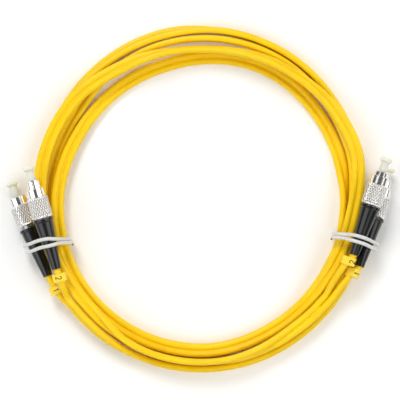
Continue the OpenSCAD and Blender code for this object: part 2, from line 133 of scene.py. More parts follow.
# A leg's points between its marker and the coil's end
LEGS_MM = {
    "left_a": ((-64, -47, 7),),
    "left_b": ((-63.2, -42.3, 12.9),),
    "right_a": ((66, -39, 10.8), (62.4, -44, 9)),
    "right_b": ((62.9, -35.6, 12.6), (59.4, -41.6, 9.9)),
}

# A tie's angle, the hand of its wraps, the gaps between their middles at its inner
# and outer ends, how far they lie along the coil there and the bow between them,
# and its closed outline in the upright plane through the coil's middle, as
# (distance from the middle, height)
TIES_MM = {
    "left_tie": (197, 1, 1.75, 3.4, 0.8, -1.5, -1.3, (
        (63.6, 6), (63.8, 3.4), (64.9, 1.4), (67.2, 0.85), (72, 0.85), (77, 0.85),
        (80.5, 1), (83.4, 2.3), (85, 5.4), (84.2, 8.8), (80.5, 14),
        (76.9, 18.6), (73.2, 20.7), (69.5, 19.7), (67.4, 16.6), (65.2, 12.2), (63.8, 8.8),
    )),
    "right_tie": (344.7, -1, 1.75, 2.6, 0, 0, 1.3, (
        (63.3, 12.2), (63.4, 9), (63.5, 5.8), (64.1, 2.7), (66, 0.95), (70.6, 0.85),
        (74.6, 0.85), (77.5, 1.1), (80.3, 2.9), (82.8, 5.5), (84.5, 8.8), (83.9, 12),
        (81.4, 15.3), (79, 18.4), (75.6, 20.3), (72.5, 19.8), (69.2, 17.7), (65.8, 15.7),
        (63.8, 14.2),
    )),
}


class CordSizes(bpy.types.PropertyGroup):
    """Sizes of the zip cord and its ties."""

    jacket: FloatProperty(
        name="Jacket", description="Diameter of each jacket",
        default=3 * MM, min=2 * MM, max=3.1 * MM, unit="LENGTH", precision=5,
    )
    pitch: FloatProperty(
        name="Pitch", description="Distance between the two joined jackets",
        default=3.2 * MM, min=3 * MM, max=3.4 * MM, unit="LENGTH", precision=5,
    )
    web: FloatProperty(
        name="Web", description="Thickness of the web that joins the jackets",
        default=1.1 * MM, min=0.5 * MM, max=2 * MM, unit="LENGTH", precision=5,
    )
    tie: FloatProperty(
        name="Tie", description="Diameter of a tie",
        default=1.7 * MM, min=1 * MM, max=2 * MM, unit="LENGTH", precision=5,
    )


class PlugSizes(bpy.types.PropertyGroup):
    """Sizes of the plugs' knurled nuts and their threads."""

    knurl_starts: IntProperty(
        name="Knurl starts", description="Grooves of each hand round the nut",
        default=25, min=12, max=48,
    )
    knurl_angle: FloatProperty(
        name="Knurl angle", description="Angle between a groove and the nut's axis",
        default=math.radians(28), min=math.radians(10), max=math.radians(45), subtype="ANGLE",
    )
    knurl_depth: FloatProperty(
        name="Knurl depth", description="Depth of a knurl groove",
        default=0.24 * MM, min=0, max=0.5 * MM, unit="LENGTH", precision=5,
    )
    thread_pitch: FloatProperty(
        name="Thread pitch", description="Pitch of the nut's M8 thread",
        default=0.75 * MM, min=0.5 * MM, max=1.25 * MM, unit="LENGTH", precision=5,
    )


class Finishes(bpy.types.PropertyGroup):
    """Colours of the finishes."""

    pvc: FloatVectorProperty(
        name="PVC", description="Colour of the zip cord's jackets",
        subtype="COLOR", size=3, default=linear("#ffd307"), min=0, max=1,
    )
    polyester: FloatVectorProperty(
        name="Tie", description="Colour of the ties",
        subtype="COLOR", size=3, default=linear("#dededa"), min=0, max=1,
    )
    polyethylene: FloatVectorProperty(
        name="Dust caps", description="Colour of the dust caps",
        subtype="COLOR", size=3, default=linear("#f3f2e0"), min=0, max=1,
    )
    nickel: FloatVectorProperty(
        name="Nickel", description="Colour of the nickel plating",
        subtype="COLOR", size=3, default=linear("#efedea"), min=0, max=1,
    )
    rubber: FloatVectorProperty(
        name="Boots", description="Colour of the boots",
        subtype="COLOR", size=3, default=linear("#101113"), min=0, max=1,
    )
    marker: FloatVectorProperty(
        name="Markers", description="Colour of the markers",
        subtype="COLOR", size=3, default=linear("#ffdd45"), min=0, max=1,
    )


# ---- Materials ----
def add(tree, kind, inputs=None, **settings):
    """Adds a shader node, with its settings and its inputs' links or values."""
    made = tree.nodes.new("ShaderNode" + kind)
    for name, value in settings.items():
        setattr(made, name, value)
    for socket, value in (inputs or {}).items():
        if isinstance(value, bpy.types.NodeSocket):
            tree.links.new(value, made.inputs[socket])
        else:
            made.inputs[socket].default_value = value
    return made


def new_material(name):
    """An empty material with its output: returns it, its tree and its output node."""
    material = bpy.data.materials.new(name)
    material.use_nodes = True
    material.node_tree.nodes.clear()
    return material, material.node_tree, add(material.node_tree, "OutputMaterial")


def close(tree, output, surface):
    """Links a surface shader to the material's output."""
    tree.links.new(surface.outputs[0], output.inputs["Surface"])


def rgba(colour, shade=1.0):
    """A colour with alpha, darkened or lightened by shade."""
    return (*(min(1, c * shade) for c in colour), 1)


def mottled(tree, colour, size_mm, low, high):
    """A colour that drifts between two shades over patches of a size."""
    place = add(tree, "TexCoord").outputs["Object"]
    noise = add(tree, "TexNoise", {"Vector": place, "Scale": 1 / (size_mm * MM), "Detail": 3.0})
    ramp = add(tree, "ValToRGB", {"Fac": noise.outputs["Fac"]})
    ramp.color_ramp.elements[0].position = 0.35
    ramp.color_ramp.elements[0].color = rgba(colour, low)
    ramp.color_ramp.elements[1].position = 0.65
    ramp.color_ramp.elements[1].color = rgba(colour, high)
    return ramp.outputs["Color"]


def grain(tree, size_mm, height_mm, detail=2.0):
    """A bump of fine grain, of a size and a height. It is drawn coarser than life, to show."""
    place = add(tree, "TexCoord").outputs["Object"]
    noise = add(tree, "TexNoise", {"Vector": place, "Scale": 1 / (size_mm * MM), "Detail": detail})
    return add(
        tree, "Bump", {"Height": noise.outputs["Fac"], "Distance": height_mm * MM, "Strength": 1.0}
    ).outputs["Normal"]


def extruded_pvc(colour):
    """Soft PVC drawn through a die: smooth and half glossy, with faint drifts of tone."""
    material, tree, output = new_material("extruded_pvc")
    close(tree, output, add(tree, "BsdfPrincipled", {
        "Base Color": mottled(tree, colour, 9, 0.96, 1.02),
        "Roughness": 0.4, "IOR": 1.53, "Specular IOR Level": 0.32,
        "Subsurface Weight": 0.12, "Subsurface Radius": (1.2 * MM, 0.6 * MM, 0.1 * MM),
        "Subsurface Scale": 1.0,
        "Normal": grain(tree, 0.9, 0.006),
    }))
    return material


def coated_tie(colour):
    """A wire tie with a glossy plastic coat."""
    material, tree, output = new_material("coated_wire_tie")
    close(tree, output, add(tree, "BsdfPrincipled", {
        "Base Color": rgba(colour), "Roughness": 0.28, "IOR": 1.5,
        "Normal": grain(tree, 1.5, 0.01),
    }))
    return material


def moulded_polyethylene(colour):
    """Translucent polyethylene from a mould: milky, with a soft gloss."""
    material, tree, output = new_material("moulded_polyethylene")
    close(tree, output, add(tree, "BsdfPrincipled", {
        "Base Color": rgba(colour), "Roughness": 0.3, "IOR": 1.51,
        "Subsurface Weight": 0.5, "Subsurface Radius": (1.6 * MM, 1.6 * MM, 1.2 * MM),
        "Subsurface Scale": 1.0, "Transmission Weight": 0.08,
        "Normal": grain(tree, 1.1, 0.008),
    }))
    return material


def turned_metal(colour, name="nickel_plated_brass", roughness=0.16):
    """Metal turned or drawn, bare or plated: it mirrors softly, with faint streaks round it."""
    material, tree, output = new_material(name)
    place = add(tree, "TexCoord").outputs["Object"]
    # The tool's marks are drawn coarser than life, to show
    marks = add(tree, "TexNoise", {
        "Vector": add(tree, "Mapping", {"Vector": place, "Scale": (0.02, 0.02, 1.0)}).outputs[0],
        "Scale": 1 / (0.25 * MM), "Detail": 2.0,
    })
    streaks = add(tree, "Bump", {
        "Height": marks.outputs["Fac"], "Distance": 0.004 * MM, "Strength": 1.0,
    })
    close(tree, output, add(tree, "BsdfPrincipled", {
        "Base Color": rgba(colour), "Metallic": 1.0, "Roughness": roughness,
        "Normal": streaks.outputs["Normal"],
    }))
    return material


def moulded_rubber(colour):
    """Black rubber from a polished mould: dark, with broad soft highlights."""
    material, tree, output = new_material("moulded_rubber")
    close(tree, output, add(tree, "BsdfPrincipled", {
        "Base Color": rgba(colour), "Roughness": 0.22, "IOR": 1.52,
        "Normal": grain(tree, 0.6, 0.004),
    }))
    return material


def moulded_marker(colour):
    """A clip-on marker of glossy moulded plastic."""
    material, tree, output = new_material("moulded_marker_plastic")
    close(tree, output, add(tree, "BsdfPrincipled", {
        "Base Color": mottled(tree, colour, 3, 0.97, 1.02), "Roughness": 0.3, "IOR": 1.5,
        "Normal": grain(tree, 0.7, 0.006),
    }))
    return material


def printed_ink():
    """Black pad-printed ink, with a dull film."""
    material, tree, output = new_material("printed_ink")
    close(tree, output, add(tree, "BsdfPrincipled", {
        "Base Color": mottled(tree, linear("#1a1610"), 0.5, 0.8, 1.3), "Roughness": 0.5,
    }))
    return material


def polished_zirconia():
    """White zirconia ground and polished to a fine gloss."""
    material, tree, output = new_material("polished_zirconia")
    close(tree, output, add(tree, "BsdfPrincipled", {
        "Base Color": mottled(tree, linear("#f2f0ea"), 1, 0.98, 1.0), "Roughness": 0.08, "IOR": 2.1,
    }))
    return material


def coated_buffer():
    """The fibre's tight buffer, an extruded white coat."""
    material, tree, output = new_material("extruded_buffer_coat")
    close(tree, output, add(tree, "BsdfPrincipled", {
        "Base Color": mottled(tree, linear("#e8e8e4"), 2, 0.97, 1.0), "Roughness": 0.45, "IOR": 1.5,
    }))
    return material


# ---- Routes ----
def key_slope(keys, i):
    """The slope at a key: level at a crest, else between the slopes on its two sides."""
    if i < 1 or i > len(keys) - 2:
        return 0
    (a, low), (b, at), (c, high) = keys[i - 1 : i + 2]
    before, after = (at - low) / (b - a), (high - at) / (c - b)
    return 2 * before * after / (before + after) if before * after > 0 else 0


def keyed(keys, angle):
    """The value at an angle, on a smooth curve through the keys."""
    if angle <= keys[0][0]:
        return keys[0][1]
    for i, ((a, low), (b, high)) in enumerate(zip(keys, keys[1:])):
        if angle <= b:
            t = (angle - a) / (b - a)
            lean = key_slope(keys, i) * (1 - t) - key_slope(keys, i + 1) * t
            return low * ease(1 - t) + high * ease(t) + (b - a) * t * (1 - t) * lean
    return keys[-1][1]


def ease(t):
    """Runs from 0 to 1, level at both ends."""
    return t * t * (3 - 2 * t)


def bump(angle, shape):
    """The height at an angle of a smooth bump given as its angle, reach and height."""
    middle, reach, height = shape
    away = abs(angle - middle) % 360
    x = min(away, 360 - away) / reach
    return height * ease(1 - x) if x < 1 else 0


def outward(angle):
    """The level direction away from the coil's middle."""
    return Vector((math.cos(math.radians(angle)), math.sin(math.radians(angle)), 0))


def along(angle):
    """The level direction in which the coil winds."""
    return Vector((0, 0, 1)).cross(outward(angle))


def coil_point(angle, across, above=0.0):
    """A point of the pair of jackets, given across the pair and above it."""
    tilt = math.radians(keyed(TILT, angle))
    radius_mm = (
        COIL_RADIUS_MM - COIL_OVAL_MM * math.cos(math.radians(2 * angle))
        - bump(angle, DENT_MM) - keyed(INSET_MM, angle)
    )
    pitch_mm = bpy.context.scene.cord_sizes.pitch / MM
    height_mm = (
        JACKET_REST_MM + pitch_mm / 2 * math.sin(tilt) + keyed(RISE_MM, angle)
        + sum(bump(angle, hump) for hump in HUMPS_MM)
    )
    r = radius_mm * MM + across * math.cos(tilt) + above * math.sin(tilt)
    z = height_mm * MM - across * math.sin(tilt) + above * math.cos(tilt)
    return outward(angle) * r + Vector((0, 0, z))


def face_and_axis(plug):
    """The middle of a plug's barrel face and its forward direction."""
    joint = JOINTS[plug + "_nut_turn"]
    return Vector(joint["pos_m"]), Vector(joint["axis"]).normalized()


def plug_point(plug, height):
    """A point on a plug's axis."""
    face, axis = face_and_axis(plug)
    return face + axis * height


def smooth_through(points, step):
    """Points about a step apart on a smooth curve through the given ones."""
    run = [2 * points[0] - points[1], *points, 2 * points[-1] - points[-2]]
    made = []
    for a, b, c, d in zip(run, run[1:], run[2:], run[3:]):
        ab, bc, cd = ((q - p).length ** 0.5 for p, q in ((a, b), (b, c), (c, d)))
        start = (c - b) + bc * ((b - a) / ab - (c - a) / (ab + bc))
        end = (c - b) + bc * ((d - c) / cd - (d - b) / (bc + cd))
        count = max(1, round((c - b).length / step))
        for i in range(count):
            t = i / count
            made.append(
                b + start * t + (3 * (c - b) - 2 * start - end) * t * t
                + (start + end - 2 * (c - b)) * t ** 3
            )
    return [*made, points[-1]]


def ends(plug, piece):
    """Where a CAD piece ends along its plug's axis, behind and in front, from the barrel's face."""
    face, axis = face_and_axis(plug)
    node = frame["nodes"][f"{plug}_{piece}"]
    heights = [(node.matrix_world @ v.co - face).dot(axis) for v in node.data.vertices]
    return min(heights), max(heights)


def boot_tail(plug):
    """Where the boot ends behind, on the plug's axis."""
    return ends(plug, "boot")[1] - BOOT_LENGTH_MM * MM


def marker_point(plug, forward):
    """A point of the cord in a plug's marker, forward of the marker's middle."""
    behind_mm, leftward_mm, _, slant = MARKERS_MM[plug]
    left = Vector((0, 0, 1)).cross(face_and_axis(plug)[1]).normalized()
    aside = leftward_mm * MM - forward * math.tan(math.radians(slant))
    return plug_point(plug, boot_tail(plug) - behind_mm * MM + forward) + left * aside


def leg_points(plug):
    """A jacket's route from inside its boot to the coil."""
    tail = boot_tail(plug)
    straight = MARKER_LENGTH / 2 + LEG_CLEAR
    return [
        plug_point(plug, CRIMP_END), plug_point(plug, (CRIMP_END + tail) / 2),
        plug_point(plug, tail + LEG_IN_BOOT), plug_point(plug, tail - LEG_CLEAR),
        marker_point(plug, straight), marker_point(plug, 0), marker_point(plug, -straight),
        *(Vector(p) * MM for p in LEGS_MM[plug]),
    ]


def jacket_route(side):
    """One jacket's middle line from its left plug to its right one. Side 1 is the outer one."""
    letter = "a" if side == 1 else "b"
    sizes = bpy.context.scene.cord_sizes
    across = side * sizes.pitch / 2
    coil = [coil_point(a, across) for a in range(COIL_START, COIL_END + 1, COIL_STEP)]
    # Past each end of the coil a jacket runs on straight for two of its diameters
    before, after = (sizes.jacket * along(angle) for angle in (COIL_START, COIL_END))
    return smooth_through([
        *leg_points("left_" + letter),
        coil[0] - 2 * before, coil[0] - before, *coil, coil[-1] + after, coil[-1] + 2 * after,
        *reversed(leg_points("right_" + letter)),
    ], ROUTE_STEP)


# ---- Meshes ----
# Edges sharper than this stay sharp
SHARP_ANGLE = math.radians(30)
# A fillet takes at most one part in this of a side, and the outline has a point past
# each of its ends, by this share of its reach, so that flat sides are shaded flat
FILLET_PART = 2.2
FILLET_PAST = 0.08


def link(mesh, name, material):
    """A new object of a mesh, in the scene, smooth and with its material."""
    made = bpy.data.objects.new(name, mesh)
    bpy.context.scene.collection.objects.link(made)
    mesh.materials.append(material)
    mesh.polygons.foreach_set("use_smooth", [True] * len(mesh.polygons))
    mesh.set_sharp_from_angle(angle=SHARP_ANGLE)
    return made


def finished(shape, name, material):
    """An object of a bmesh, with its faces turned outward."""
    bmesh.ops.recalc_face_normals(shape, faces=shape.faces)
    mesh = bpy.data.meshes.new(name)
    shape.to_mesh(mesh)
    shape.free()
    return link(mesh, name, material)


def tube(name, points, diameter, material, closed=False):
    """A round tube along points, as a curve of one spline."""
    curve = bpy.data.curves.new(name, "CURVE")
    curve.dimensions = "3D"
    curve.bevel_depth = diameter / 2
    curve.bevel_resolution = 6
    curve.use_fill_caps = not closed
    spline = curve.splines.new("POLY")
    spline.points.add(len(points) - 1)
    for spot, point in zip(spline.points, points):
        spot.co = (*point, 1)
    spline.use_cyclic_u = closed
    made = bpy.data.objects.new(name, curve)
    bpy.context.scene.collection.objects.link(made)
    curve.materials.append(material)
    return made


def swept(name, rings, material):
    """A solid through closed rings of points, capped at both ends."""
    shape = bmesh.new()
    rows = [[shape.verts.new(p) for p in ring] for ring in rings]
    for low, high in zip(rows, rows[1:]):
        for i, corner in enumerate(low):
            nxt = (i + 1) % len(low)
            shape.faces.new((corner, low[nxt], high[nxt], high[i]))
    shape.faces.new(list(reversed(rows[0])))
    shape.faces.new(rows[-1])
    return finished(shape, name, material)


def turned(name, outline, material, segments=96, relief=None):
    """A piece turned from an outline of (radius, height), open at its axis. relief(radius,
    height, angle) moves a point of the outline's surface outward."""
    rings = []
    for k in range(segments):
        angle = 2 * math.pi * k / segments
        spin = Vector((math.cos(angle), math.sin(angle), 0))
        rings.append([
            spin * (r + (relief(r, z, angle) if relief else 0)) + Vector((0, 0, z))
            for r, z in outline
        ])
    shape = bmesh.new()
    rows = [[shape.verts.new(p) for p in ring] for ring in rings]
    for low, high in zip(rows, [*rows[1:], rows[0]]):
        for i in range(len(outline)):
            j = (i + 1) % len(outline)
            shape.faces.new((low[i], high[i], high[j], low[j]))
    bmesh.ops.remove_doubles(shape, verts=shape.verts, dist=SAME_POINT)
    return finished(shape, name, material)


def filleted(corners, radius, steps=4):
    """An outline with its corners rounded, as far as their sides allow."""
    made = []
    for before, at, after in zip([corners[-1], *corners[:-1]], corners, [*corners[1:], corners[0]]):
        a, b, c = (Vector(p) for p in (before, at, after))
        reach = min(radius, (a - b).length / FILLET_PART, (c - b).length / FILLET_PART)
        start, end = b + (a - b).normalized() * reach, b + (c - b).normalized() * reach
        made.append(tuple(start + (start - b) * FILLET_PAST))
        for i in range(steps + 1):
            t = i / steps
            made.append(tuple(start * (1 - t) ** 2 + b * 2 * t * (1 - t) + end * t * t))
        made.append(tuple(end + (end - b) * FILLET_PAST))
    return made


def on_plug(obj, plug, forward=0.0):
    """Puts a piece that was made on the Z axis at its plug, forward of the barrel's face."""
    turn = face_and_axis(plug)[1].to_track_quat("Z", "Y").to_matrix().to_4x4()
    obj.matrix_world = Matrix.Translation(plug_point(plug, forward)) @ turn
    return obj


def paint(node, material):
    """Gives a CAD node its material."""
    for spot in frame["nodes"][node].material_slots:
        spot.material = material
    if not frame["nodes"][node].material_slots:
        frame["nodes"][node].data.materials.append(material)


# The key lamp as (azimuth, tilt from straight up) and its spread, each softbox as
# (azimuth, tilt, spread, strength), and how far its edge fades to either side, in degrees
KEY_PLACE = (108, 46)
KEY_SPREAD = 24
KEY_STRENGTH = 1.5
ROOM_LIGHT = 0.11
SOFTBOXES = ((12, 50, 26, 2.0), (205, 46, 27, 1.9), (290, 45, 22, 1.4))
BOX_EDGE = 3
# The view's width in pixels, its scale, its middle and the camera's distance
PIXELS = 400
MM_PER_PIXEL = 0.465
VIEW_MIDDLE_MM = (-0.5, -0.5, 8)
CAMERA_DISTANCE = 0.9
FLOOR_HALF = 6.0


def toward(azimuth, tilt):
    """The direction at an azimuth and a tilt from straight up."""
    lean = math.radians(tilt)
    return outward(azimuth) * math.sin(lean) + Vector((0, 0, math.cos(lean)))


# ---- Operators ----
class PATCH_OT_stage(bpy.types.Operator):
    """Makes the camera, the lamps and the white floor"""

    bl_idname = "patch.stage"
    bl_label = "Stage"

    def execute(self, context):
        scene = context.scene
        scene.view_settings.view_transform = "Standard"
        camera = bpy.data.cameras.new("camera")
        camera.sensor_width = 36
        eye = bpy.data.objects.new("camera", camera)
        scene.collection.objects.link(eye)
        view_width = PIXELS * MM_PER_PIXEL * MM
        camera.lens = camera.sensor_width * CAMERA_DISTANCE / view_width
        camera.clip_start = 0.05
        eye.location = Vector(VIEW_MIDDLE_MM) * MM + Vector((0, 0, CAMERA_DISTANCE))
        scene.camera = eye
        self.key(scene)
        self.studio(scene)
        self.floor()
        return {"FINISHED"}

    def key(self, scene):
        """The key lamp, far off past the coil's +Y side, for the soft shadows."""
        data = bpy.data.lights.new("key", "SUN")
        data.energy = KEY_STRENGTH
        data.angle = math.radians(KEY_SPREAD)
        lamp = bpy.data.objects.new("key", data)
        lamp.rotation_euler = toward(*KEY_PLACE).to_track_quat("Z", "Y").to_euler()
        scene.collection.objects.link(lamp)

    def studio(self, scene):
        """A dim room with big softboxes, which turned metal shows as white bands."""
        world = bpy.data.worlds.new("studio")
        scene.world = world
        world.use_nodes = True
        tree = world.node_tree
        tree.nodes.clear()
        way = add(tree, "TexCoord").outputs["Generated"]
        total = ROOM_LIGHT
        for azimuth, tilt, spread, strength in SOFTBOXES:
            facing = add(
                tree, "VectorMath", {0: way, 1: toward(azimuth, tilt)}, operation="DOT_PRODUCT"
            ).outputs["Value"]
            low, high = (math.cos(math.radians(spread + soft)) for soft in (BOX_EDGE, -BOX_EDGE))
            box = add(tree, "MapRange", {
                "Value": facing, "From Min": low, "From Max": high, "To Min": 0, "To Max": strength,
            }, interpolation_type="SMOOTHSTEP").outputs["Result"]
            total = add(tree, "Math", {0: box, 1: total}, operation="ADD").outputs[0]
        light = add(tree, "Background", {"Color": (1, 1, 1, 1), "Strength": total})
        tree.links.new(light.outputs[0], add(tree, "OutputWorld").inputs["Surface"])

    def floor(self):
        """A broad white board, painted matt."""
        material, tree, output = new_material("white_board")
        matt = {"Base Color": rgba(linear("#fcfcfb")), "Roughness": 0.9}
        close(tree, output, add(tree, "BsdfPrincipled", matt))
        mesh = bpy.data.meshes.new("floor")
        corners = [
            (FLOOR_HALF * x, FLOOR_HALF * y, 0) for x, y in ((-1, -1), (1, -1), (1, 1), (-1, 1))
        ]
        mesh.from_pydata(corners, [], [(0, 1, 2, 3)])
        link(mesh, "floor", material)


class PATCH_OT_zip_cord(bpy.types.Operator):
    """Makes the two jackets, each from plug to plug, and the web that joins them"""

    bl_idname = "patch.zip_cord"
    bl_label = "Zip cord"

    # The web meets a jacket at this share of its radius. Its faces rise by the one height
    # there and by the other half way to it.
    met_at = 0.83
    edge_rise, halfway_rise = 0.12 * MM, 0.03 * MM

    def execute(self, context):
        sizes = context.scene.cord_sizes
        pvc = extruded_pvc(context.scene.cord_finishes.pvc)
        web = self.web(sizes, pvc)
        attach(web, ROOT)
        for side, letter in ((1, "a"), (-1, "b")):
            route = jacket_route(side)
            jacket = tube("jacket_" + letter, route, sizes.jacket, pvc)
            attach(jacket, ROOT)
            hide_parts("zipcord_coil", f"left_{letter}_leg", f"right_{letter}_leg")
        return {"FINISHED"}

    def web(self, sizes, material):
        """The thin web between the jackets, hollowed on both faces."""
        reach = sizes.pitch / 2 - self.met_at * sizes.jacket / 2
        middle = sizes.web / 2
        halfway, edge = middle + self.halfway_rise, middle + self.edge_rise
        half = [
            (-reach, edge), (-reach / 2, halfway), (0, middle), (reach / 2, halfway), (reach, edge),
        ]
        ring = [*half, *((x, -y) for x, y in reversed(half))]
        angles = range(COIL_START, COIL_END + 1, COIL_STEP)
        return swept("zip_web", [[coil_point(a, x, y) for x, y in ring] for a in angles], material)


class PATCH_OT_ties(bpy.types.Operator):
    """Makes the two ties, each of two wraps"""

    bl_idname = "patch.ties"
    bl_label = "Ties"

    # The wire's thickness, and how far it shows past the cut end and bends inward
    wire, bare_end_mm = 0.9 * MM, (1.5, 0.2)
    # The distance between a tie's points, and the height below which it lies underneath
    step_mm, under_mm = 1.0, 1.4
    # How far from its inner side a tie's wraps start to spread, and over what distance
    spread_from_mm, spread_over_mm = 3, 7

    def execute(self, context):
        sizes = context.scene.cord_sizes
        coat = coated_tie(context.scene.cord_finishes.polyester)
        copper = turned_metal(linear("#8a6238"), "cut_wire_end", 0.35)
        for name, (angle, hand, *lay_mm) in TIES_MM.items():
            route = self.route(angle, hand, *lay_mm)
            tie = tube(name + "_wraps", route, sizes.tie, coat)
            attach(tie, ROOT)
            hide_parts(name)
            bare_mm, bent_mm = self.bare_end_mm
            past = route[-1] + (along(angle) * bare_mm * hand - outward(angle) * bent_mm) * MM
            core = tube(name + "_core", [route[-1], past], self.wire, copper)
            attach(core, ROOT)
        return {"FINISHED"}

    def route(self, angle, hand, inner_mm, outer_mm, near_mm, far_mm, bow_mm, outline_mm):
        """From under the bundle twice round the outline. The wraps spread wider at the
        outer side, and cross from one place to the next underneath."""
        corners_mm = [Vector((*p, 0)) for p in (outline_mm[-1], *outline_mm, *outline_mm[:2])]
        loop_mm = smooth_through(corners_mm, self.step_mm)
        met = [i for i, p in enumerate(loop_mm) if (p - corners_mm[1]).length < SAME_POINT / MM]
        lap_mm = loop_mm[met[0]:met[1]]
        (inside_mm, low_mm), (outside_mm, top_mm) = (
            [most(values) for values in zip(*outline_mm)] for most in (min, max)
        )
        rest = bpy.context.scene.cord_sizes.tie / 2
        under = [i for i, p in enumerate(lap_mm) if p.y < self.under_mm]
        made = []
        for i in range(under[len(under) // 2], 2 * len(lap_mm) + 1):
            r_mm, z_mm, _ = lap_mm[i % len(lap_mm)]
            spread = (r_mm - inside_mm - self.spread_from_mm) / self.spread_over_mm
            gap_mm = inner_mm + (outer_mm - inner_mm) * ease(min(1, max(0, spread)))
            crossed = ease(min(1, max(0, (i - len(lap_mm) - under[0]) / len(under))))
            across = (r_mm - inside_mm) / (outside_mm - inside_mm)
            upward = (z_mm - low_mm) / (top_mm - low_mm)
            lean_mm = near_mm + (far_mm - near_mm) * across
            lean_mm += 4 * bow_mm * across * (1 - across) * ease(upward)
            shift_mm = hand * gap_mm * (crossed - 0.5) + lean_mm
            upright = outward(angle) * r_mm * MM + Vector((0, 0, max(z_mm * MM, rest)))
            made.append(upright + along(angle) * shift_mm * MM)
        return made


class PATCH_OT_nuts(bpy.types.Operator):
    """Makes the knurled coupling nuts, with their threads"""

    bl_idname = "patch.nuts"
    bl_label = "Coupling nuts"

    # The nut's length, that of its smooth collar, and the bevel at the knurl's ends
    length, collar, edge = 13.8 * MM, 3.8 * MM, 0.4 * MM
    # The radii of the knurl's crests, the collar, the thread's crests and the bore, and
    # the one past which a face behind the collar is rolled
    knurl_r, collar_r, thread_r, bore_r, rolled_from = (r * MM for r in (4.85, 4.15, 3.8, 3.45, 4.3))
    # Half a groove's width, as a share of the distance between grooves, the share of its
    # depth past which a face is painted in shade, and the rows of points along the knurl
    groove, sunk_share, rows = 0.24, 0.6, 44
    # Where the thread ends behind and how long it is, how deep it is cut, and the
    # bevels at the collar's front and at the bore
    thread_end, thread_length, thread_depth = 9 * MM, 8.6 * MM, 0.2 * MM
    bevel, bore_bevel = 0.15 * MM, 0.2 * MM

    def execute(self, context):
        sizes = context.scene.plug_sizes
        nickel = turned_metal(context.scene.cord_finishes.nickel)
        rolled = turned_metal(context.scene.cord_finishes.nickel, "nickel_plated_knurl", 0.3)
        # The bottoms of the rolled grooves are painted darker, as painted shade that draws
        # the knurl's crossing lines, and are rougher
        dull = turned_metal(linear("#99938b"), "nickel_groove_painted_shade", 0.45)
        for plug in PLUGS:
            nut = turned(
                plug + "_nut", self.outline(sizes), nickel, segments=240,
                relief=lambda r, z, a: self.relief(sizes, r, z, a),
            )
            nut.data.materials.append(rolled)
            nut.data.materials.append(dull)
            for face in nut.data.polygons:
                radius = math.hypot(face.center.x, face.center.y)
                if radius > self.rolled_from and face.center.z < -self.collar:
                    # Faces sunk deep in a groove, away from the knurl's rims, take the painted
                    # groove shade
                    sunk = self.knurl_r - radius > self.sunk_share * sizes.knurl_depth
                    rim = min(-self.collar - face.center.z, face.center.z + self.length) < self.edge
                    face.material_index = 2 if sunk and not rim else 1
            on_plug(nut, plug, ends(plug, "coupling_nut")[1])
            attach(nut, plug + "_nut")
            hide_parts(plug + "_coupling_nut")
        return {"FINISHED"}

    def outline(self, sizes):
        """The nut's section, with closer points where it is knurled and threaded."""
        first, last = -self.collar - self.edge, -self.length + self.edge
        band = [(self.knurl_r, first + (last - first) * i / self.rows) for i in range(self.rows + 1)]
        count = 4 * round(self.thread_end / sizes.thread_pitch)
        inner = [
            (self.thread_r, -self.thread_end + self.thread_length * i / count)
            for i in range(count + 1)
        ]
        relief_r = self.thread_r + self.thread_depth
        return [
            (self.collar_r - self.bevel, 0), (self.collar_r, -self.bevel),
            (self.collar_r, -self.collar + 0.05 * MM), (self.knurl_r - self.edge, -self.collar),
            *band,
            (self.knurl_r - self.edge, -self.length), (self.bore_r + self.bore_bevel, -self.length),
            (self.bore_r, -self.length + self.bore_bevel), (self.bore_r, -10.5 * MM),
            (relief_r, -10.4 * MM), (relief_r, -9.4 * MM),
            *inner, (self.thread_r + 0.1 * MM, -0.1 * MM), (relief_r, 0),
        ]

    def relief(self, sizes, r, z, angle):
        """The depth of the knurl's crossing grooves, or of the thread, at a point."""
        turn = angle / (2 * math.pi)
        if abs(r - self.knurl_r) < SAME_POINT:
            fade = min(-self.collar - self.edge - z, z + self.length - self.edge) / self.edge
            rise = z * math.tan(sizes.knurl_angle) / (2 * math.pi * self.knurl_r)
            ridge = min(abs(sizes.knurl_starts * (turn + s * rise) % 1 - 0.5) for s in (-1, 1))
            return -sizes.knurl_depth * max(0, min(1, fade)) * (1 - min(1, ridge / self.groove))
        if abs(r - self.thread_r) < SAME_POINT:
            return self.thread_depth * abs((z / sizes.thread_pitch + turn) % 1 * 2 - 1)
        return 0


class PATCH_OT_boots(bpy.types.Operator):
    """Makes the rubber boots"""

    bl_idname = "patch.boots"
    bl_label = "Boots"

    def execute(self, context):
        rubber = moulded_rubber(context.scene.cord_finishes.rubber)
        corners_mm = [
            (3.4, 0), (4.72, 0), (4.75, -1.25), (4.35, -1.45), (4.25, -2.4),
            (2.2, -BOOT_LENGTH_MM), (1.75, -BOOT_LENGTH_MM), (1.75, -15.2),
            (2.65, -15), (2.65, -7.2), (3.4, -7.1),
        ]
        outline = filleted([(r * MM, z * MM) for r, z in corners_mm], radius=0.3 * MM)
        for plug in PLUGS:
            boot = turned(plug + "_boot_sleeve", outline, rubber)
            on_plug(boot, plug, ends(plug, "boot")[1])
            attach(boot, ROOT)
            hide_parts(plug + "_boot")
        return {"FINISHED"}


